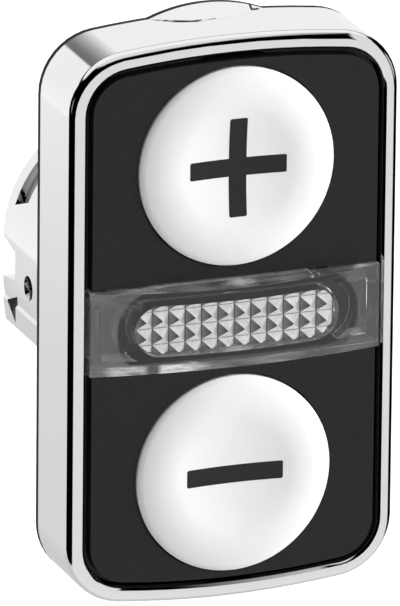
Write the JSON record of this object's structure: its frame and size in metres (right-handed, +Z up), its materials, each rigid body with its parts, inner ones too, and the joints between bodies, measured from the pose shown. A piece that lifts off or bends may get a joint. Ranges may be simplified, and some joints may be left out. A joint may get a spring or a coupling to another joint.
{
  "type": "double push button",
  "caption": "Bright rectangular bezel with flush round push buttons above and below a clear pilot lens, on a round barrel that mounts in a panel hole.",
  "frame": {"origin": "on the barrel's axis, at the panel's front face, which is the rear face of the gasket", "axes": "+Z up along the bezel's long side, -Y out of the front, +X to the right seen from the front"},
  "size_m": [0.03, 0.0302, 0.0524],
  "materials": {
    "chromed_zinc": "bright plated die casting",
    "black_rubber": "moulded rubber",
    "black_nylon": "moulded glass-filled nylon",
    "black_abs": "finely spark-eroded ABS",
    "white_abs": "glossy moulded ABS",
    "grey_abs": "second shot of dark grey ABS for the signs",
    "smoked_polycarbonate": "clear smoked polycarbonate",
    "prism_acrylic": "clear moulded acrylic prisms",
    "clear_acrylic": "polished clear acrylic",
    "grey_acetal": "moulded acetal",
    "natural_acetal": "moulded acetal, undyed",
    "spring_steel": "drawn stainless wire",
    "zinc_steel": "zinc-plated steel"
  },
  "bodies": {
    "housing": {"bezel_housing": "chromed_zinc", "panel_gasket": "black_rubber", "inner_frame": "black_nylon", "rear_guide": "natural_acetal", "frame_screws": "zinc_steel", "upper_face_plate": "black_abs", "lower_face_plate": "black_abs", "lens_cover": "smoked_polycarbonate", "lens_diffuser": "prism_acrylic", "lens_seal": "black_rubber", "light_guide": "clear_acrylic", "upper_spring": "spring_steel", "lower_spring": "spring_steel", "upper_leg_seal": "black_rubber", "lower_leg_seal": "black_rubber"},
    "upper_button": {"upper_cap": "white_abs", "upper_cap_seal": "black_rubber", "upper_pusher": "grey_acetal"},
    "lower_button": {"lower_cap": "white_abs", "lower_cap_seal": "black_rubber", "lower_pusher": "grey_acetal"}
  },
  "joints": [
    {"name": "upper_press", "type": "slide", "parent": "housing", "child": "upper_button", "axis": [0, 1, 0], "range_m": [0, 0.0043], "stiffness_N_per_m": 500, "deforming": ["upper_spring"]},
    {"name": "lower_press", "type": "slide", "parent": "housing", "child": "lower_button", "axis": [0, 1, 0], "range_m": [0, 0.0043], "stiffness_N_per_m": 500, "deforming": ["lower_spring"]}
  ]
}
